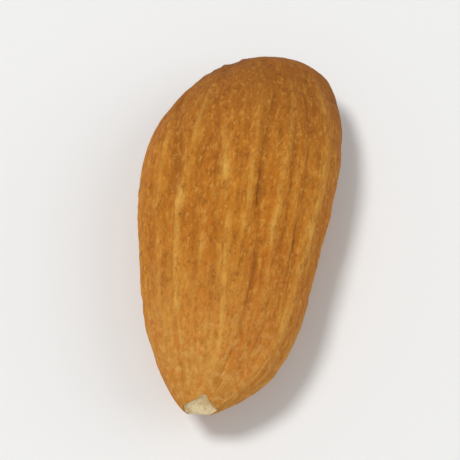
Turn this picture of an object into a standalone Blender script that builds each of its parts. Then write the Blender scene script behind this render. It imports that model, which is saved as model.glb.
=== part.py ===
"""A whole almond kernel in its brown skin, lying on one of its two broad faces.

The kernel is one solid. Units are metres. +Y runs from the pointed tip to the
broad end, +X is the side with the fuller shoulder, and +Z is up. The origin is
the middle of the bottom of the kernel's box, level with its resting flat.
"""

import math

import bmesh
import bpy
from mathutils import Matrix, Vector

# Driving dimensions of the kernel.
LENGTH = 0.0255
WIDTH = 0.0131
THICKNESS = 0.0080

# How much of the thickness stands above the edge line, on the upper face.
CROWN_SHARE = 0.53
# How far the edge line rises to the tip.
TIP_RISE = 0.00035

# The flat spot on the underside, as the depth that it takes off the dome.
REST_DEPTH = 0.00016

# The bare chip at the tip, a broken face above and a worn one below it: each as
# the thickness that is lost, how far the face leans back from upright towards the
# upper side, and how far it turns towards +X.
CHIP_FACES = (
    (0.00028, math.radians(28.0), math.radians(6.0)),
    (0.00012, math.radians(-25.0), math.radians(6.0)),
)

# The outline's half width and the half thickness, each against a plain
# ellipse, as powers of v, where v is -1 at the tip and +1 at the broad end.
# A high power of v then squares the broad end.
PLAN_TAPER = (0.93, 0.25, 0.36, -0.14, -0.48)
PLAN_END_FULLNESS = 0.73
SIDE_TAPER = (0.97, 0.17, -0.03)
SIDE_END_FULLNESS = 0.26
END_POWER = 8

# The sideways swing of the centre line, as powers of v times the length: it
# bellies to -X past the middle and swings to +X at the broad end.
CENTRE_SWING = (-0.006, -0.022, 0.056, 0.056, -0.031)

# How far the cross-section is thinner towards its edges than an ellipse.
EDGE_PINCH = 0.07
# The keel along the +X edge, where the seed was joined to its stalk.
KEEL_HEIGHT = 0.00008
KEEL_SPREAD = math.radians(10.0)

# Mesh density: facets round the kernel, and rows from tip to broad end.
FACETS_ROUND = 56
ROWS_ALONG = 40

SKIN_COLOUR = (0.456, 0.178, 0.030, 1.0)
SKIN_ROUGHNESS = 0.72


def clear_scene():
    for old in list(bpy.data.objects):
        bpy.data.objects.remove(old, do_unlink=True)


def power_sum(factors, v):
    return sum(factor * v ** power for power, factor in enumerate(factors))


def fullness(factors, end_fullness, v):
    """How wide or thick the kernel is at v, against a plain ellipse."""
    return power_sum(factors, v) + end_fullness * max(v, 0.0) ** END_POWER


def kernel_point(direction):
    """Move a point of the unit sphere, poles at +Y and -Y, onto the kernel."""
    v = max(-1.0, min(1.0, direction.y))
    ring = math.hypot(direction.x, direction.z)
    angle = math.atan2(direction.z, direction.x)
    half_width = 0.5 * WIDTH * fullness(PLAN_TAPER, PLAN_END_FULLNESS, v)
    keel = KEEL_HEIGHT * math.exp(-(angle / KEEL_SPREAD) ** 2)
    share = CROWN_SHARE if direction.z > 0.0 else 1.0 - CROWN_SHARE
    height = share * THICKNESS * fullness(SIDE_TAPER, SIDE_END_FULLNESS, v)
    pinch = 1.0 - EDGE_PINCH * math.cos(angle) ** 2
    return Vector((
        LENGTH * power_sum(CENTRE_SWING, v) + ring * (half_width * math.cos(angle) + keel),
        0.5 * LENGTH * v,
        TIP_RISE * min(v, 0.0) ** 2 + ring * height * pinch * math.sin(angle),
    ))


def cut_flat(mesh, point, normal):
    """Cut off what lies beyond a plane, and close the cut with one flat face."""
    everything = mesh.verts[:] + mesh.edges[:] + mesh.faces[:]
    cut = bmesh.ops.bisect_plane(
        mesh, geom=everything, dist=1e-7, plane_co=point, plane_no=normal, clear_outer=True
    )
    rim = [item for item in cut["geom_cut"] if isinstance(item, bmesh.types.BMEdge)]
    bmesh.ops.contextual_create(mesh, geom=rim)


def cut_tip_chip(mesh):
    """The small facets where a flake has come off the tip."""
    for depth, lean, turn in CHIP_FACES:
        outward = Vector((0.0, -math.cos(lean), math.sin(lean)))
        outward.rotate(Matrix.Rotation(turn, 3, "Z"))
        reach = max(vert.co.dot(outward) for vert in mesh.verts)
        cut_flat(mesh, outward * (reach - depth), outward)


def cut_rest_flat(mesh):
    """The small flat spot under the kernel."""
    lowest = min(vert.co.z for vert in mesh.verts)
    cut_flat(mesh, Vector((0.0, 0.0, lowest + REST_DEPTH)), Vector((0.0, 0.0, -1.0)))


def settle_on_origin(mesh):
    """Put the middle of the bottom of the kernel's box on the origin."""
    places = [vert.co for vert in mesh.verts]
    low = Vector([min(place[axis] for place in places) for axis in range(3)])
    high = Vector([max(place[axis] for place in places) for axis in range(3)])
    middle = (low + high) * 0.5
    bmesh.ops.translate(mesh, verts=mesh.verts, vec=(-middle.x, -middle.y, -low.z))


def skin_material():
    material = bpy.data.materials.new("almond_skin")
    material.use_nodes = True
    shader = material.node_tree.nodes["Principled BSDF"]
    shader.inputs["Base Color"].default_value = SKIN_COLOUR
    shader.inputs["Roughness"].default_value = SKIN_ROUGHNESS
    shader.inputs["Metallic"].default_value = 0.0
    return material


def build_almond():
    mesh = bmesh.new()
    poles_along_y = Matrix.Rotation(math.radians(90.0), 4, "X")
    bmesh.ops.create_uvsphere(
        mesh, u_segments=FACETS_ROUND, v_segments=ROWS_ALONG, radius=1.0, matrix=poles_along_y
    )
    for vert in mesh.verts:
        vert.co = kernel_point(vert.co)
    cut_tip_chip(mesh)
    cut_rest_flat(mesh)
    settle_on_origin(mesh)
    bmesh.ops.recalc_face_normals(mesh, faces=mesh.faces)

    data = bpy.data.meshes.new("almond")
    mesh.to_mesh(data)
    mesh.free()
    data.shade_smooth()
    data.materials.append(skin_material())
    almond = bpy.data.objects.new("almond", data)
    bpy.context.scene.collection.objects.link(almond)
    return almond


clear_scene()
build_almond()
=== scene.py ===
"""The look of a whole almond kernel, round the solid that the frame holds.

The kernel's skin is one fine mesh. Its smooth form follows the same outline
formulas as the solid, and the ribs, wrinkles, grain and chipped tip stand on
that form as real relief. Lengths inside the mesh maths are in millimetres.
"""
import math

import bmesh
import bpy
import numpy as np
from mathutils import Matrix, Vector, noise


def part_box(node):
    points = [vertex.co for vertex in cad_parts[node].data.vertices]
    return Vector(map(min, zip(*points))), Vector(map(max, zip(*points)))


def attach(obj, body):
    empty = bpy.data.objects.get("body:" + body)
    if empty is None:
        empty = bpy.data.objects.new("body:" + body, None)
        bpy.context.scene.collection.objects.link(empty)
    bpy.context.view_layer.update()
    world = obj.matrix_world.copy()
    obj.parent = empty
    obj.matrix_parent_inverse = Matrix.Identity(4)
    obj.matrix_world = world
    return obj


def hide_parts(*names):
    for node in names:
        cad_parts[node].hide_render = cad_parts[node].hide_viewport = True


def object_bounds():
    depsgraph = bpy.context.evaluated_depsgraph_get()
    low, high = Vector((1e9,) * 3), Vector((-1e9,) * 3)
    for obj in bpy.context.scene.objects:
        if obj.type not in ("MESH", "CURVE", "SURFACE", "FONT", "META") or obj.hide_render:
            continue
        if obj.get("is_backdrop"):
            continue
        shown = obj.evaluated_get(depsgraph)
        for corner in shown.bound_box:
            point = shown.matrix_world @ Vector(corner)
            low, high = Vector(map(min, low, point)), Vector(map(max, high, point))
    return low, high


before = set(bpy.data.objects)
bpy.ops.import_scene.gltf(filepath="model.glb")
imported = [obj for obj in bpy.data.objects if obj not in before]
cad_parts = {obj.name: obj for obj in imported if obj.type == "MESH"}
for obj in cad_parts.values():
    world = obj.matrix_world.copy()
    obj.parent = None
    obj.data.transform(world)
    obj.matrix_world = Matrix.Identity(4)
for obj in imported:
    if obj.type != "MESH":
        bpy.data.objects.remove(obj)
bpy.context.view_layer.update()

MM = 0.001

# ---------------------------------------------------------------- smooth form
LENGTH = 25.5
WIDTH = 13.1
THICKNESS = 8.0
CROWN_SHARE = 0.53
TIP_RISE = 0.35
PLAN_TAPER = (0.93, 0.25, 0.36, -0.14, -0.48)
PLAN_END_FULLNESS = 0.73
SIDE_TAPER = (0.97, 0.17, -0.03)
SIDE_END_FULLNESS = 0.26
END_POWER = 8
CENTRE_SWING = (-0.006, -0.022, 0.056, 0.056, -0.031)
EDGE_PINCH = 0.07

# Mesh density: columns round the kernel, and rows from tip to broad end.
COLUMNS = 344
ROWS = 276
# How far rows and columns are spread from even angles to even distances.
ROW_EVENING = 0.10
COLUMN_EVENING = 0.13


def power_sum(factors, v):
    return sum(factor * v ** power for power, factor in enumerate(factors))


def fullness(factors, end_fullness, v):
    return power_sum(factors, v) + end_fullness * np.maximum(v, 0.0) ** END_POWER


def smooth_form(v, angle):
    """Points of the smooth kernel: v is -1 at the tip and 1 at the broad end,
    and angle runs round it from the +X edge over the upper face."""
    ring = np.sqrt(np.maximum(0.0, 1.0 - v * v))
    half_width = 0.5 * WIDTH * fullness(PLAN_TAPER, PLAN_END_FULLNESS, v)
    share = np.where(np.sin(angle) > 0.0, CROWN_SHARE, 1.0 - CROWN_SHARE)
    height = share * THICKNESS * fullness(SIDE_TAPER, SIDE_END_FULLNESS, v)
    pinch = 1.0 - EDGE_PINCH * np.cos(angle) ** 2
    x = LENGTH * power_sum(CENTRE_SWING, v) + ring * half_width * np.cos(angle)
    y = 0.5 * LENGTH * v
    z = TIP_RISE * np.minimum(v, 0.0) ** 2 + ring * height * pinch * np.sin(angle)
    return np.stack([x, y, z], axis=-1)


def grid():
    """v and angle at every row and column, the poles left out."""
    along = np.linspace(0.0, math.pi, ROWS + 2)[1:-1]
    along = along + ROW_EVENING * np.sin(2.0 * along)
    around = np.linspace(0.0, 2.0 * math.pi, COLUMNS, endpoint=False)
    around = around + COLUMN_EVENING * np.sin(2.0 * around)
    return np.meshgrid(-np.cos(along), around, indexing="ij")


def outward(points):
    """Unit normals of a grid of points that closes round each row."""
    along = np.gradient(points, axis=0)
    around = np.roll(points, -1, axis=1) - np.roll(points, 1, axis=1)
    normals = np.cross(along, around)
    return normals / np.linalg.norm(normals, axis=-1, keepdims=True)


# --------------------------------------------------------------------- relief
# Where the seed was joined: the ribs run together at this scar by the broad end.
SCAR_ANGLE = math.radians(160.0)
SCAR_V = 0.925
SCAR_RADIUS = 1.4
SCAR_DEPTH = 0.10
# How far its puckers and its shade reach, in radii.
SCAR_REACH = 1.3
# The dent runs on round the end of the kernel, so distances up and down count less.
SCAR_STRETCH = (1.0, 1.0, 0.5)

# Each rib or groove of the upper face: the v where it starts and stops, its angle
# round the kernel in degrees where it starts, halfway and where it stops, its
# height in mm, and its half width in degrees towards -X and towards +X.
UPPER_VEINS = (
    (0.00, 0.80, 134.0, 133.0, 176.0, -0.26, 3.0, 4.6),
    (-0.12, 0.80, 126.0, 117.5, 120.0, 0.20, 1.6, 3.2),
    (-0.95, 0.20, 117.0, 124.5, 124.0, 0.15, 1.9, 3.0),
    (-0.60, 0.78, 110.0, 112.0, 117.0, -0.08, 2.2, 2.6),
    (-0.50, -0.32, 118.0, 114.0, 109.0, 0.09, 2.0, 2.0),
    (-0.42, 0.12, 110.0, 105.0, 103.0, 0.07, 1.4, 2.2),
    (-0.55, 0.66, 97.0, 99.0, 110.0, -0.07, 1.6, 2.6),
    (0.00, 0.56, 92.5, 97.5, 103.0, 0.10, 2.3, 3.3),
    (-0.88, 0.04, 87.0, 89.5, 92.0, 0.12, 1.9, 2.7),
    (-0.30, 0.60, 85.0, 85.5, 88.0, -0.05, 1.5, 2.0),
    (-0.20, 0.90, 79.0, 80.0, 77.0, 0.10, 2.4, 1.4),
    (-0.90, 0.15, 77.0, 71.5, 74.0, -0.09, 1.1, 2.4),
    (-0.08, 0.76, 73.0, 75.0, 69.0, -0.24, 0.9, 2.3),
    (-0.45, 0.92, 60.0, 61.5, 57.0, 0.11, 1.6, 2.4),
    (-0.30, 0.68, 50.5, 55.5, 58.0, -0.12, 1.1, 2.2),
    (-0.32, 0.48, 47.0, 50.5, 55.0, 0.07, 1.3, 1.9),
    (-0.36, 0.84, 45.0, 45.0, 49.0, -0.10, 1.2, 2.0),
    (-0.90, 0.90, 44.0, 32.0, 34.0, 0.11, 4.4, 6.0),
    (-0.55, 0.10, 136.0, 135.0, 136.0, -0.05, 2.0, 3.0),
    (-0.65, 0.55, 142.0, 142.0, 142.0, 0.08, 1.8, 2.8),
    (-0.50, 0.40, 151.0, 151.0, 151.0, -0.06, 2.0, 3.0),
    (-0.95, 0.90, 0.0, 0.0, 0.0, 0.06, 7.0, 7.0),
)
# Ribs and grooves of the underside and the edges, placed by a seeded draw: angles
# and half widths in degrees, starts and stops as v, and heights in mm.
LOWER_FIRST_ANGLE = 163.0
LOWER_LAST_ANGLE = 350.0
LOWER_SPACING = (3.2, 8.0)
LOWER_LEAN = 4.0
LOWER_START = (-0.92, -0.45)
LOWER_STOP = (0.60, 0.98)
LOWER_RIDGE_HEIGHT = (0.02, 0.07)
LOWER_RIDGE_HALF_WIDTH = (2.6, 5.0)
LOWER_CREASE_HEIGHT = (-0.07, -0.02)
LOWER_CREASE_HALF_WIDTH = (1.2, 2.6)
LOWER_SEED = 11
# Short slanting ridges and grooves that join the long ones, on every side. Their
# slant is in degrees round the kernel for each unit of v.
SHORT_COUNT = 90
SHORT_CENTRE = (-0.75, 0.85)
SHORT_SLANT = 28.0
SHORT_HALF_LENGTH = (0.05, 0.16)
SHORT_HEIGHT = (0.02, 0.055)
SHORT_HALF_WIDTH = (1.2, 2.2)
SHORT_SEED = 5

# The share of its height that every vein keeps, the height in mm whose tint is
# full (painted light on a rib's crest, painted shade in a groove), the stretch of v
# over which a vein fades in or out, and how far it wobbles in degrees, slowly and
# quickly along its length.
VEIN_SHARE = 0.9
FULL_TINT_HEIGHT = 0.14
VEIN_FADE = 0.16
SLOW_WOBBLE = 1.5
QUICK_WOBBLE = 0.6
# The rates, for each unit of v, of the slow and quick wobble and of the breaks in
# a vein's tint.
SLOW_RATE = 3.0
BREAK_RATE = 9.0
QUICK_RATE = 13.0
# How much a vein's height and its tint change along it, and between which limits.
HEIGHT_CHANGE = 0.8
HEIGHT_LIMITS = (0.1, 1.7)
TINT_CHANGE = 1.1
TINT_LIMITS = (0.0, 1.5)

# Fine wrinkles that run with the ribs: height in mm, how closely they lie, their
# width, and their place in the noise field.
WRINKLES = (
    (-0.050, 0.75, 0.12, 31.0),
    (-0.030, 1.50, 0.12, 43.0),
    (0.028, 1.00, 0.20, 61.0),
    (0.018, 1.90, 0.18, 67.0),
)
WRINKLE_SHARE = 0.85
# The noise's rate along the fibres, against its rate across them.
WRINKLE_STRETCH = 0.17
# The radius in mm of the cylinder that carries the fibres' coordinates.
FIBRE_RADIUS = 6.0

# Heights in mm of the other relief: soft folds between the ribs, the puckers of
# the scar, the slow swell of the whole form, and the grain of the skin.
FOLD_HEIGHT = 0.050
PUCKER_HEIGHT = 0.13
SWELL_HEIGHT = -0.10
GRAIN_HEIGHT = 0.042

# Places in the noise field, one for each use, so that no two look alike.
SWAY_PLACE = 4.7
FOLD_PLACE = 19.0
PUCKER_PLACE = 37.0
SWELL_PLACE = 53.0
GRAIN_PLACE = 71.0
CHIP_FACE_PLACE = 83.0
CHIP_EDGE_PLACE = 89.0
# The step from one vein's places to the next vein's, and from the place of its
# slow wobble to those of its quick wobble, its height and its tint.
VEIN_PLACE_STEP = 7.3
QUICK_PLACE = 1.7
HEIGHT_PLACE = 3.1
TINT_PLACE = 5.3

# Patches of the skin that are redder than the rest, or yellower where the last
# number is negative: v, rib angle in degrees, their half sizes, and strength.
RUST_PATCHES = (
    (0.70, 54.0, 0.13, 9.0, 0.8),
    (0.48, 110.0, 0.16, 9.0, 0.7),
    (0.02, 106.0, 0.10, 7.0, 0.7),
    (0.24, 62.0, 0.16, 10.0, 1.0),
    (-0.22, 44.0, 0.20, 11.0, 1.1),
    (-0.45, 56.0, 0.18, 16.0, 1.1),
    (-0.66, 38.0, 0.18, 16.0, 1.1),
    (-0.70, 66.0, 0.10, 13.0, 1.3),
    (-0.68, 122.0, 0.07, 9.0, 1.2),
    (-0.76, 100.0, 0.10, 14.0, -1.2),
    (-0.20, 126.0, 0.30, 14.0, -1.0),
    (0.20, 140.0, 0.25, 16.0, -0.8),
    (-0.05, 90.0, 0.30, 6.0, -0.6),
)

# The chip at the tip: a broken face above and a worn one below it, each as how
# far it leans back, its turn about +Z, its depth from the surface it cuts, and the
# straight breaks that end it. A break is its heading on the face, from +X round
# to the top, and its distance from where the face is deepest.
CHIP_FACES = (
    (
        math.radians(34.0), math.radians(-6.0), 0.34,
        ((math.radians(30.0), 0.86), (math.radians(129.0), 0.88)),
    ),
    (math.radians(-25.0), math.radians(-6.0), 0.16, ()),
)
SKIN_THICKNESS = 0.07
# How ragged the chip's edge is, how rough its faces, and where the skin starts and
# stops giving way to flesh, in mm.
CHIP_RAGGEDNESS = 0.03
CHIP_ROUGHNESS = 0.03
CHIP_EDGE = (-0.005, 0.015)

# The map for baking: the gap between its two halves in mm, and its margin as a share.
BAKE_GAP = 0.8
BAKE_MARGIN = 0.01


def smooth_step(value, low, high):
    share = np.clip((value - low) / (high - low), 0.0, 1.0)
    return share * share * (3.0 - 2.0 * share)


def noise_at(points, detail, offset):
    """Fractal noise, about -1 to 1, at an array of points."""
    flat = points.reshape(-1, 3) + offset
    values = [noise.fractal(point, 1.0, 2.0, detail) for point in flat.tolist()]
    return np.array(values).reshape(points.shape[:-1])


def along_noise(v, rate, offset):
    """Noise along the length, one value for each row."""
    column = np.stack([v[:, 0] * rate, np.full(len(v), offset), np.zeros(len(v))], axis=-1)
    return noise_at(column, 2, 0.0)[:, None]


def rib_angle(v, angle):
    """The angle, on the widest ring, of the rib that passes each place. Towards the
    tip a rib keeps its angle. Seen from the broad end, it runs straight to the scar."""
    radius = np.sqrt(np.maximum(0.0, 1.0 - np.maximum(v, 0.0) ** 2))
    place = np.stack([radius * np.cos(angle), radius * np.sin(angle)], axis=-1)
    scar = math.sqrt(1.0 - SCAR_V ** 2) * np.array((math.cos(SCAR_ANGLE), math.sin(SCAR_ANGLE)))
    heading = place - scar
    square = np.maximum((heading ** 2).sum(axis=-1), 1e-9)
    half = heading @ scar
    stretch = (np.sqrt(half ** 2 + square * (1.0 - scar @ scar)) - half) / square
    rim = scar + heading * stretch[..., None]
    return np.arctan2(rim[..., 1], rim[..., 0])


def lower_veins():
    """Seeded ribs and grooves for the faces that the upper list leaves bare."""
    random = np.random.default_rng(LOWER_SEED)
    veins = []
    angle = LOWER_FIRST_ANGLE
    kinds = [
        (LOWER_RIDGE_HEIGHT, LOWER_RIDGE_HALF_WIDTH),
        (LOWER_CREASE_HEIGHT, LOWER_CREASE_HALF_WIDTH),
    ]
    while angle < LOWER_LAST_ANGLE:
        lean_start, lean_stop = random.uniform(-LOWER_LEAN, LOWER_LEAN, 2)
        start = random.uniform(*LOWER_START)
        stop = random.uniform(*LOWER_STOP)
        heights, half_widths = kinds[len(veins) % 2]
        height = random.uniform(*heights)
        widths = random.uniform(*half_widths, 2)
        veins.append((start, stop, angle + lean_start, angle, angle + lean_stop, height, *widths))
        angle += random.uniform(*LOWER_SPACING)
    return veins


def short_veins():
    """Seeded short ridges and grooves that slant across the long ones."""
    random = np.random.default_rng(SHORT_SEED)
    veins = []
    for _ in range(SHORT_COUNT):
        angle = random.uniform(0.0, 360.0)
        centre = random.uniform(*SHORT_CENTRE)
        half_length = random.uniform(*SHORT_HALF_LENGTH)
        lean = half_length * random.uniform(-SHORT_SLANT, SHORT_SLANT)
        height = random.choice([-1.0, 1.0]) * random.uniform(*SHORT_HEIGHT)
        widths = random.uniform(*SHORT_HALF_WIDTH, 2)
        reach = (centre - half_length, centre + half_length)
        veins.append((*reach, angle - lean, angle, angle + lean, height, *widths))
    return veins


def draw_veins(v, ribs):
    """Relief of all the veins, the light painted on their crests, which are partly paler in colour
    too, and the shade painted in their grooves.
    """
    degrees = np.degrees(ribs)
    relief, pale_lit_crest, groove_shade = np.zeros((3, *v.shape))
    for index, vein in enumerate([*UPPER_VEINS, *lower_veins(), *short_veins()]):
        start, stop, at_start, halfway, at_stop, height, left, right = vein
        reach = (2.0 * v - start - stop) / (stop - start)
        lean = 0.5 * (at_stop - at_start)
        bend = 0.5 * (at_start + at_stop) - halfway
        place = VEIN_PLACE_STEP * index
        centre = halfway + lean * reach + bend * reach * reach
        centre = centre + SLOW_WOBBLE * along_noise(v, SLOW_RATE, place)
        centre = centre + QUICK_WOBBLE * along_noise(v, QUICK_RATE, place + QUICK_PLACE)
        off = (degrees - centre + 180.0) % 360.0 - 180.0
        profile = np.exp(-np.abs(off / np.where(off > 0.0, left, right)) ** 2)
        ease = min(VEIN_FADE, 0.5 * (stop - start))
        fade = smooth_step(v, start, start + ease) * (1.0 - smooth_step(v, stop - ease, stop))
        strength = 1.0 + HEIGHT_CHANGE * along_noise(v, SLOW_RATE, place + HEIGHT_PLACE)
        strength = np.clip(strength, *HEIGHT_LIMITS) * fade
        relief += VEIN_SHARE * height * strength * profile
        broken = 1.0 + TINT_CHANGE * along_noise(v, BREAK_RATE, place + TINT_PLACE)
        broken = np.clip(broken, *TINT_LIMITS)
        tint = strength * broken * profile * min(1.0, abs(height) / FULL_TINT_HEIGHT)
        if height > 0.0:
            pale_lit_crest = np.maximum(pale_lit_crest, tint)
        else:
            groove_shade = np.maximum(groove_shade, tint)
    return relief, pale_lit_crest, groove_shade


def creases(fibre, scale, width, offset):
    """Narrow lines, 1 on the line, that run with the fibres and branch."""
    field = noise_at(fibre * scale, 3, offset)
    patchy = smooth_step(noise_at(fibre * scale * 0.6, 1, offset + 5.0), -0.35, 0.25)
    return np.exp(-(field / width) ** 2) * patchy


def fibre_place(ribs, from_scar):
    """Coordinates that run with the ribs: across, up and along, in mm."""
    return np.stack([np.cos(ribs) * FIBRE_RADIUS, np.sin(ribs) * FIBRE_RADIUS, from_scar], axis=-1)


def wrinkle_relief(base, fibre):
    """Soft folds, and fine lengthwise wrinkles that part and join between the ribs."""
    sway = 0.35 * noise_at(base * 0.4, 2, SWAY_PLACE)
    sideways = np.stack([sway, sway, np.zeros_like(sway)], axis=-1)
    fibre = fibre * (1.0, 1.0, WRINKLE_STRETCH) + sideways
    relief = FOLD_HEIGHT * noise_at(fibre * 0.8, 2, FOLD_PLACE)
    for height, closeness, width, place in WRINKLES:
        relief += height * creases(fibre, closeness, width, place)
    return WRINKLE_SHARE * relief


def scar_relief(base, distance):
    """The puckered dent where the seed was joined."""
    near = np.exp(-(distance / (SCAR_REACH * SCAR_RADIUS)) ** 2)
    dent = -SCAR_DEPTH * np.exp(-(distance / SCAR_RADIUS) ** 2)
    pucker = PUCKER_HEIGHT * noise_at(base * 1.4, 4, PUCKER_PLACE)
    return dent + pucker * near


def rust_patches(v, ribs):
    degrees = np.degrees(ribs)
    rust = np.zeros_like(v)
    for centre, angle, half_length, half_width, strength in RUST_PATCHES:
        along = (v - centre) / half_length
        across = (degrees - angle) / half_width
        rust += strength * np.exp(-(along ** 2 + across ** 2))
    return rust


def relief_share(v, from_scar):
    """How much of the relief is left: less at both ends, and none on the scar."""
    at_tip = 0.45 + 0.55 * smooth_step(v, -0.98, -0.70)
    at_broad_end = 1.0 - 0.3 * smooth_step(v, 0.85, 1.0)
    return at_tip * smooth_step(from_scar, 0.3, 2.6) * at_broad_end


def kernel_grid():
    """Points of the skin before it is chipped, and what its material reads."""
    v, angle = grid()
    base = smooth_form(v, angle)
    normals = outward(base)
    ribs = rib_angle(v, angle)
    scar = smooth_form(np.array(SCAR_V), np.array(SCAR_ANGLE))
    from_scar = np.linalg.norm(base - scar, axis=-1)
    fibre = fibre_place(ribs, from_scar)
    share = relief_share(v, from_scar)
    veins, pale_lit_crest, groove_shade = draw_veins(v, ribs)
    relief = (veins + wrinkle_relief(base, fibre)) * share
    relief = relief + scar_relief(base, np.linalg.norm((base - scar) * SCAR_STRETCH, axis=-1))
    swell = SWELL_HEIGHT * noise_at(base * 0.22, 2, SWELL_PLACE)
    grain = GRAIN_HEIGHT * noise_at(fibre * (2.2, 2.2, 1.2), 4, GRAIN_PLACE) * share
    points = base + normals * (relief + swell + grain)[..., None]
    looks = {
        "relief": relief,
        # Painted light on the ribs' crests, partly their own paler colour, and painted shade in
        # the grooves.
        "pale_lit_crest": pale_lit_crest * share,
        "groove_shade": groove_shade * share,
        "lengthwise": v,
        "rust": rust_patches(v, ribs),
        "scar": np.exp(-(from_scar / (SCAR_REACH * SCAR_RADIUS)) ** 2),
    }
    return base, points, fibre, looks


def cut_chip(points):
    """Sink what stands beyond the chip's faces to flesh below the skin."""
    bare = np.zeros(points.shape[:-1])
    for lean, turn, depth, breaks in CHIP_FACES:
        facing = np.array((
            math.sin(turn) * -math.cos(lean),
            math.cos(turn) * -math.cos(lean),
            math.sin(lean),
        ))
        reach = points @ facing
        over = reach - (reach.max() - depth)
        deepest = points.reshape(-1, 3)[reach.argmax()]
        across = np.cross((0.0, 0.0, 1.0), facing)
        across = across / np.linalg.norm(across)
        upward = np.cross(facing, across)
        for heading, distance in breaks:
            towards = across * math.cos(heading) + upward * math.sin(heading)
            over = np.minimum(over, distance - (points - deepest) @ towards)
        over = over + CHIP_RAGGEDNESS * noise_at(points * 1.8, 3, CHIP_EDGE_PLACE)
        cut = smooth_step(over, *CHIP_EDGE)
        rough = CHIP_ROUGHNESS * noise_at(points * 2.5, 3, CHIP_FACE_PLACE)
        depth_lost = np.maximum(over, 0.0) + (SKIN_THICKNESS + rough) * cut
        points = points - facing * depth_lost[..., None]
        bare = np.maximum(bare, cut)
    return points, bare


def skin_faces():
    """Four-sided faces between the rows, then a fan of three-sided ones at the tip
    and another at the broad end. The two poles come after the grid's points."""
    first = np.arange(ROWS * COLUMNS).reshape(ROWS, COLUMNS)
    after = np.roll(first, -1, axis=1)
    quads = np.stack([first[:-1], first[1:], after[1:], after[:-1]], axis=-1).reshape(-1, 4)
    tip, end = ROWS * COLUMNS, ROWS * COLUMNS + 1
    faces = quads.tolist()
    faces += [(tip, first[0, column], after[0, column]) for column in range(COLUMNS)]
    faces += [(after[-1, column], first[-1, column], end) for column in range(COLUMNS)]
    return faces


def bake_layout(base):
    """Where each face corner goes on the map for baking: the upper half of the skin
    beside the lower half, each unrolled to both sides of its middle line."""
    half = COLUMNS // 2
    poles = [np.broadcast_to(base[row].mean(axis=0), (1, COLUMNS, 3)) for row in (0, -1)]
    closed = np.concatenate([poles[0], base, poles[1]])
    closed = np.concatenate([closed, closed[:, :1]], axis=1)
    steps = np.linalg.norm(np.diff(closed, axis=1), axis=-1)
    around = np.concatenate([np.zeros((ROWS + 2, 1)), np.cumsum(steps, axis=1)], axis=1)
    sheets = []
    edge = 0.0
    for start in (0, half):
        middle = start + half // 2
        across = around[:, middle, None] - around[:, start:start + half + 1]
        across = across - across.min() + edge
        edge = across.max() + BAKE_GAP
        steps = np.linalg.norm(np.diff(closed[:, middle], axis=0), axis=-1)
        along = np.append(0.0, np.cumsum(steps))[:, None] + np.zeros_like(across)
        sheets.append(np.stack([across, along], axis=-1))
    flat = np.stack(sheets, axis=1)
    low, high = flat.min(axis=(0, 1, 2)), flat.max(axis=(0, 1, 2))
    flat = BAKE_MARGIN + (1.0 - 2.0 * BAKE_MARGIN) * (flat - low) / (high - low)
    near, far = flat[:-1], flat[1:]
    corners = np.stack(
        [near[:, :, :-1], far[:, :, :-1], far[:, :, 1:], near[:, :, 1:]], axis=3
    )
    tip, quads, end = corners[0], corners[1:-1], corners[-1]
    order = [quads, tip[:, :, [0, 1, 2]], end[:, :, [3, 0, 1]]]
    return np.concatenate([part.reshape(-1, 2) for part in order]).astype(np.float32)


def add_attribute(mesh, name, kind, field, values):
    """Store values of the grid's points, and their means over the first and last
    rows for the two poles."""
    by_row = values.reshape(ROWS, COLUMNS, -1)
    poles = [by_row[0].mean(axis=0), by_row[-1].mean(axis=0)]
    attribute = mesh.attributes.new(name, kind, "POINT")
    attribute.data.foreach_set(field, np.append(by_row, poles).astype(np.float32))


def build_kernel():
    base, points, fibre, looks = kernel_grid()
    points, looks["bare"] = cut_chip(points)
    points = points + np.array(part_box("almond")[1]) / MM - base.reshape(-1, 3).max(axis=0)
    tip = points[0].mean(axis=0)
    end = points[-1].mean(axis=0)
    points[..., 2] = np.maximum(points[..., 2], 0.0)

    vertices = np.concatenate([points.reshape(-1, 3), [tip, end]]) * MM
    mesh = bpy.data.meshes.new("kernel_skin")
    mesh.from_pydata(vertices.tolist(), [], skin_faces())
    mesh.shade_smooth()
    mesh.uv_layers.new(name="OFBake").uv.foreach_set("vector", bake_layout(base).ravel())
    add_attribute(mesh, "fibre", "FLOAT_VECTOR", "vector", fibre)
    for name, values in looks.items():
        add_attribute(mesh, name, "FLOAT", "value", values)

    kernel = bpy.data.objects.new("almond_kernel", mesh)
    bpy.context.scene.collection.objects.link(kernel)
    return kernel


# ------------------------------------------------------------------- material
GOLD = (0.515, 0.176, 0.0138, 1.0)
RUST = (0.480, 0.145, 0.0115, 1.0)
# Painted light on the crests, partly their paler colour, and pale mottle.
CREST_LIGHT_AND_PALE_MOTTLE = (0.665, 0.312, 0.045, 1.0)
# Painted light on the pale ribs, partly their own yellower colour.
PALE_LIT_CREST = (0.730, 0.388, 0.074, 1.0)
# Painted shade in the troughs, and dark mottle and streaks.
GROOVE_SHADE_AND_DARK_MOTTLE = (0.270, 0.088, 0.0092, 1.0)
FLECK = (0.640, 0.355, 0.088, 1.0)
# Specks, pocks and pits, and also painted shade in the hollows round the scar.
SPECK_AND_HOLLOW_SHADE = (0.180, 0.060, 0.009, 1.0)
TIP_END = (0.610, 0.270, 0.050, 1.0)
# The broad end's darker colour: partly its own browner skin, partly painted shade where it turns
# from the light.
BROAD_END_SKIN_AND_SHADE = (0.270, 0.087, 0.010, 1.0)
TIP_BLUSH = (0.585, 0.204, 0.030, 1.0)
TIP_FLECK = (0.760, 0.440, 0.125, 1.0)
FLESH = (0.920, 0.740, 0.450, 1.0)
FLESH_SHADE = (0.680, 0.490, 0.230, 1.0)


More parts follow.
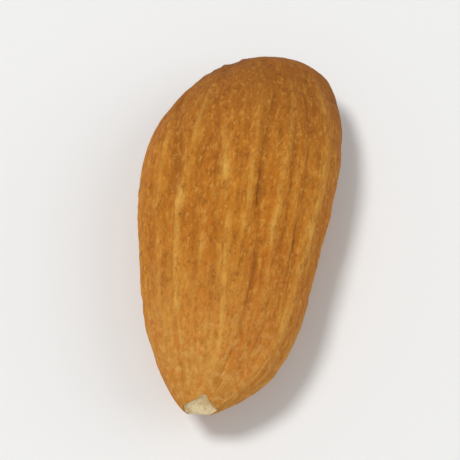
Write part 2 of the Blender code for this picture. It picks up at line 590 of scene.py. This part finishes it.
class Graph:
    """Short names for adding and joining a material's nodes, and the four inputs
    that most layers of the skin read: place in mm, place along the fibres, height
    of the relief, and v."""

    def __init__(self, material):
        material.use_nodes = True
        self.tree = material.node_tree
        self.shader = self.tree.nodes["Principled BSDF"]
        place = self.tree.nodes.new("ShaderNodeTexCoord").outputs["Object"]
        self.place = self.scaled(place, (1.0 / MM, 1.0 / MM, 1.0 / MM))
        self.fibre = self.attribute("fibre", "Vector")
        self.relief = self.attribute("relief")
        self.lengthwise = self.attribute("lengthwise")

    def join(self, source, target):
        self.tree.links.new(source, target)

    def attribute(self, name, output="Fac"):
        node = self.tree.nodes.new("ShaderNodeAttribute")
        node.attribute_name = name
        return node.outputs[output]

    def scaled(self, vector, factors):
        node = self.tree.nodes.new("ShaderNodeVectorMath")
        node.operation = "MULTIPLY"
        self.join(vector, node.inputs[0])
        node.inputs[1].default_value = factors
        return node.outputs[0]

    def noise(self, vector, factors, scale, detail=3.0, roughness=0.55):
        node = self.tree.nodes.new("ShaderNodeTexNoise")
        node.inputs["Scale"].default_value = scale
        node.inputs["Detail"].default_value = detail
        node.inputs["Roughness"].default_value = roughness
        self.join(self.scaled(vector, factors), node.inputs["Vector"])
        return node.outputs["Fac"]

    def stretch(self, value, low, high, to_low=0.0, to_high=1.0):
        node = self.tree.nodes.new("ShaderNodeMapRange")
        node.interpolation_type = "SMOOTHSTEP"
        self.join(value, node.inputs["Value"])
        node.inputs["From Min"].default_value = low
        node.inputs["From Max"].default_value = high
        node.inputs["To Min"].default_value = to_low
        node.inputs["To Max"].default_value = to_high
        return node.outputs["Result"]

    def times(self, first, second):
        node = self.tree.nodes.new("ShaderNodeMath")
        node.operation = "MULTIPLY"
        for socket, value in zip(node.inputs, (first, second)):
            if isinstance(value, float):
                socket.default_value = value
            else:
                self.join(value, socket)
        return node.outputs[0]

    def add(self, first, second):
        node = self.tree.nodes.new("ShaderNodeMath")
        node.operation = "ADD"
        self.join(first, node.inputs[0])
        self.join(second, node.inputs[1])
        return node.outputs[0]

    def blend(self, share, under, over):
        node = self.tree.nodes.new("ShaderNodeMix")
        node.data_type = "RGBA"
        self.join(share, node.inputs["Factor"])
        for socket, value in ((node.inputs[6], under), (node.inputs[7], over)):
            if isinstance(value, tuple):
                socket.default_value = value
            else:
                self.join(value, socket)
        return node.outputs[2]


def ground_colour(graph):
    """Gold skin with redder patches, which turns lighter towards the tip."""
    rust = graph.times(graph.attribute("rust"), 0.10)
    patches = graph.add(graph.noise(graph.fibre, (1.0, 1.0, 0.4), 0.45, 2.0), rust)
    colour = graph.blend(graph.stretch(patches, 0.42, 0.70), GOLD, RUST)
    blush = graph.add(graph.noise(graph.fibre, (1.0, 1.0, 0.7), 0.8, 2.0), rust)
    tip_colour = graph.blend(graph.stretch(blush, 0.44, 0.62), TIP_END, TIP_BLUSH)
    tip_end = graph.stretch(graph.lengthwise, 0.0, -0.80, 0.0, 0.75)
    return graph.blend(tip_end, colour, tip_colour)


def paint_rib_light_shade_and_broad_end(graph, colour, pale_lit_ribs):
    """Painted light on the crests, partly their own paler colour, and painted shade in the
    troughs, broken up along the ribs, and a darker broad end, partly browner skin and partly
    painted shade.
    """
    broken = graph.noise(graph.fibre, (1.0, 1.0, 0.45), 1.6, 3.0, 0.65)
    # Painted shade where the relief sinks, and painted light where it stands proud.
    colour = graph.blend(graph.stretch(graph.relief, 0.0, -0.11, 0.0, 0.28), colour, GROOVE_SHADE_AND_DARK_MOTTLE)
    colour = graph.blend(graph.stretch(graph.relief, 0.0, 0.15, 0.0, 0.26), colour, CREST_LIGHT_AND_PALE_MOTTLE)
    # Painted shade along the grooves, then painted light, partly their paler colour, along the
    # ribs.
    groove_shade = graph.times(graph.attribute("groove_shade"), graph.stretch(broken, 0.65, 0.35, 0.15, 0.5))
    colour = graph.blend(groove_shade, colour, GROOVE_SHADE_AND_DARK_MOTTLE)
    pale_lit_crest = graph.times(pale_lit_ribs, graph.stretch(broken, 0.38, 0.60, 0.12, 0.62))
    colour = graph.blend(pale_lit_crest, colour, PALE_LIT_CREST)
    # Darker towards the broad end: partly browner skin, partly painted shade.
    return graph.blend(graph.stretch(graph.lengthwise, 0.05, 1.0, 0.0, 0.66), colour, BROAD_END_SKIN_AND_SHADE)


def mottle(graph, colour, flecks, rough_end, pale_lit_ribs):
    """Blotches, streaks along the fibres and pale flecks, then a darker broad end, partly
    browner skin and partly painted shade, thinner on its ribs and flecks."""
    blotches = graph.noise(graph.place, (1.0, 0.45, 1.0), 2.4, 5.0, 0.75)
    colour = graph.blend(graph.stretch(blotches, 0.52, 0.68, 0.0, 0.70), colour, CREST_LIGHT_AND_PALE_MOTTLE)
    shadows = graph.times(graph.stretch(blotches, 0.48, 0.32, 0.0, 0.70), rough_end)
    colour = graph.blend(shadows, colour, GROOVE_SHADE_AND_DARK_MOTTLE)

    streaks = graph.noise(graph.fibre, (1.0, 1.0, 0.12), 3.2, 4.0)
    colour = graph.blend(graph.stretch(streaks, 0.52, 0.75, 0.0, 0.25), colour, CREST_LIGHT_AND_PALE_MOTTLE)
    colour = graph.blend(graph.stretch(streaks, 0.48, 0.28, 0.0, 0.35), colour, GROOVE_SHADE_AND_DARK_MOTTLE)

    colour = graph.blend(graph.stretch(flecks, 0.52, 0.70, 0.0, 0.50), colour, FLECK)
    tip_flecks = graph.noise(graph.place, (1.0, 0.8, 1.0), 2.6, 3.0, 0.6)
    smooth_end = graph.stretch(graph.lengthwise, -0.30, -0.80, 0.0, 0.42)
    tip_flecks = graph.times(graph.stretch(tip_flecks, 0.44, 0.68), smooth_end)
    colour = graph.blend(tip_flecks, colour, TIP_FLECK)

    off_ribs = graph.stretch(pale_lit_ribs, 0.0, 0.7, 1.0, 0.45)
    off_flecks = graph.stretch(flecks, 0.42, 0.66, 1.0, 0.72)
    # Darker again towards the broad end, partly painted shade.
    broad_end = graph.times(graph.stretch(graph.lengthwise, 0.40, 1.0, 0.0, 0.72), off_ribs)
    return graph.blend(graph.times(broad_end, off_flecks), colour, BROAD_END_SKIN_AND_SHADE)


def darken(graph, colour, rough_end):
    """The scar's shade and painted shade in its hollows, then specks and pits all over,
    and pocks at the broad end."""
    scar = graph.attribute("scar")
    colour = graph.blend(graph.stretch(scar, 0.1, 0.9, 0.0, 0.4), colour, SPECK_AND_HOLLOW_SHADE)
    # Painted shade in the hollows round the scar.
    hollow_shade = graph.stretch(graph.relief, -0.02, -0.18, 0.0, 0.6)
    colour = graph.blend(graph.times(hollow_shade, graph.stretch(scar, 0.0, 0.3)), colour, SPECK_AND_HOLLOW_SHADE)
    specks = graph.noise(graph.place, (1.0, 0.6, 1.0), 4.2, 3.0, 0.7)
    specks = graph.times(graph.stretch(specks, 0.47, 0.30, 0.0, 0.44), rough_end)
    colour = graph.blend(specks, colour, SPECK_AND_HOLLOW_SHADE)
    pocks = graph.noise(graph.place, (1.0, 0.8, 1.0), 2.3, 3.0, 0.65)
    pocked_end = graph.stretch(graph.lengthwise, 0.45, 0.85, 0.0, 0.75)
    pocks = graph.times(graph.stretch(pocks, 0.42, 0.32), pocked_end)
    colour = graph.blend(pocks, colour, SPECK_AND_HOLLOW_SHADE)
    pits = graph.noise(graph.place, (1.0, 0.7, 1.0), 1.9, 2.0, 0.6)
    pits = graph.times(graph.stretch(pits, 0.33, 0.25, 0.0, 0.50), rough_end)
    return graph.blend(pits, colour, SPECK_AND_HOLLOW_SHADE)


def bare_flesh(graph, colour):
    """Cream flesh where the skin is chipped off."""
    shade = graph.noise(graph.place, (1.0, 1.0, 1.0), 1.4, 3.0)
    flesh = graph.blend(graph.stretch(shade, 0.40, 0.65), FLESH, FLESH_SHADE)
    return graph.blend(graph.stretch(graph.attribute("bare"), 0.35, 0.65), colour, flesh)


def roughen(graph):
    """The finest grain, too fine for the mesh: scurf, and hairs along the fibres."""
    scurf = graph.times(graph.noise(graph.place, (1.0, 0.6, 1.0), 5.5, 4.0, 0.7), 0.110)
    hair = graph.times(graph.noise(graph.fibre, (1.0, 1.0, 0.2), 6.0, 2.0), 0.030)
    bump = graph.tree.nodes.new("ShaderNodeBump")
    bump.inputs["Distance"].default_value = MM
    bump.inputs["Strength"].default_value = 0.8
    graph.join(graph.add(scurf, hair), bump.inputs["Height"])
    graph.join(bump.outputs["Normal"], graph.shader.inputs["Normal"])


def skin_material():
    material = bpy.data.materials.new("almond_skin_look")
    graph = Graph(material)
    pale_lit_ribs = graph.attribute("pale_lit_crest")
    rough_end = graph.stretch(graph.lengthwise, -0.85, -0.25, 0.35, 1.0)
    flecks = graph.noise(graph.place, (1.0, 0.55, 1.0), 4.6, 3.0, 0.7)

    colour = ground_colour(graph)
    colour = paint_rib_light_shade_and_broad_end(graph, colour, pale_lit_ribs)
    colour = mottle(graph, colour, flecks, rough_end, pale_lit_ribs)
    colour = darken(graph, colour, rough_end)
    colour = bare_flesh(graph, colour)
    graph.join(colour, graph.shader.inputs["Base Color"])

    graph.join(graph.stretch(flecks, 0.3, 0.7, 0.58, 0.78), graph.shader.inputs["Roughness"])
    graph.shader.inputs["Specular IOR Level"].default_value = 0.10
    graph.shader.inputs["Sheen Weight"].default_value = 0.02
    graph.shader.inputs["Sheen Roughness"].default_value = 0.5
    roughen(graph)
    return material


# ---------------------------------------------------------------------- stage
FLOOR_COLOUR = (0.84, 0.84, 0.83, 1.0)
FLOOR_HALF_SIZE = 0.6
FLOOR_CELLS = 80
FLOOR_FLAT_RADIUS = 0.2
FLOOR_RISE = 0.60
FLOOR_DROP = 0.01 * MM
# Each light's place, size and power.
KEY_LIGHT = ((-0.50, 0.13, 1.12), 0.32, 8.4)
FILL_LIGHT = ((0.95, 0.15, 0.80), 1.00, 3.2)
SKY_STRENGTH = 0.41
CAMERA_AZIMUTH = math.radians(9.1)
CAMERA_ELEVATION = math.radians(70.0)
CAMERA_LENS = 150.0
CAMERA_DISTANCE = 0.126


def add_floor():
    """A pale sheet, flat round the kernel, that curves up far off on every side."""
    form = bmesh.new()
    bmesh.ops.create_grid(
        form, x_segments=FLOOR_CELLS, y_segments=FLOOR_CELLS, size=FLOOR_HALF_SIZE
    )
    for vertex in form.verts:
        beyond = max(0.0, vertex.co.xy.length - FLOOR_FLAT_RADIUS)
        vertex.co.z = FLOOR_RISE * beyond ** 2 - FLOOR_DROP
    mesh = bpy.data.meshes.new("floor")
    form.to_mesh(mesh)
    form.free()
    mesh.shade_smooth()

    material = bpy.data.materials.new("floor")
    material.use_nodes = True
    shader = material.node_tree.nodes["Principled BSDF"]
    shader.inputs["Base Color"].default_value = FLOOR_COLOUR
    shader.inputs["Roughness"].default_value = 0.9
    mesh.materials.append(material)
    floor = bpy.data.objects.new("floor", mesh)
    bpy.context.scene.collection.objects.link(floor)
    floor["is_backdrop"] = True


def add_area_light(name, place, size, power):
    data = bpy.data.lights.new(name, "AREA")
    data.shape = "DISK"
    data.size = size
    data.energy = power
    light = bpy.data.objects.new(name, data)
    light.location = place
    light.rotation_euler = (-Vector(place)).to_track_quat("-Z", "Y").to_euler()
    bpy.context.scene.collection.objects.link(light)


def add_lights():
    add_area_light("key", *KEY_LIGHT)
    add_area_light("fill", *FILL_LIGHT)
    world = bpy.data.worlds.new("studio")
    world.use_nodes = True
    background = world.node_tree.nodes["Background"]
    background.inputs["Color"].default_value = (1.0, 1.0, 1.0, 1.0)
    background.inputs["Strength"].default_value = SKY_STRENGTH
    bpy.context.scene.world = world
    bpy.context.scene.view_settings.view_transform = "Standard"


def add_camera():
    low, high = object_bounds()
    centre = (low + high) * 0.5
    level = math.cos(CAMERA_ELEVATION)
    back = Vector((
        math.sin(CAMERA_AZIMUTH) * level,
        -math.cos(CAMERA_AZIMUTH) * level,
        math.sin(CAMERA_ELEVATION),
    ))
    data = bpy.data.cameras.new("camera")
    data.lens = CAMERA_LENS
    data.clip_start = 0.01
    data.clip_end = 5.0
    camera = bpy.data.objects.new("camera", data)
    camera.location = centre + back * CAMERA_DISTANCE
    camera.rotation_euler = (-back).to_track_quat("-Z", "Y").to_euler()
    bpy.context.scene.collection.objects.link(camera)
    bpy.context.scene.camera = camera


add_floor()
add_lights()
add_camera()
kernel = build_kernel()
kernel.data.materials.append(skin_material())
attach(kernel, "root")
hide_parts("almond")
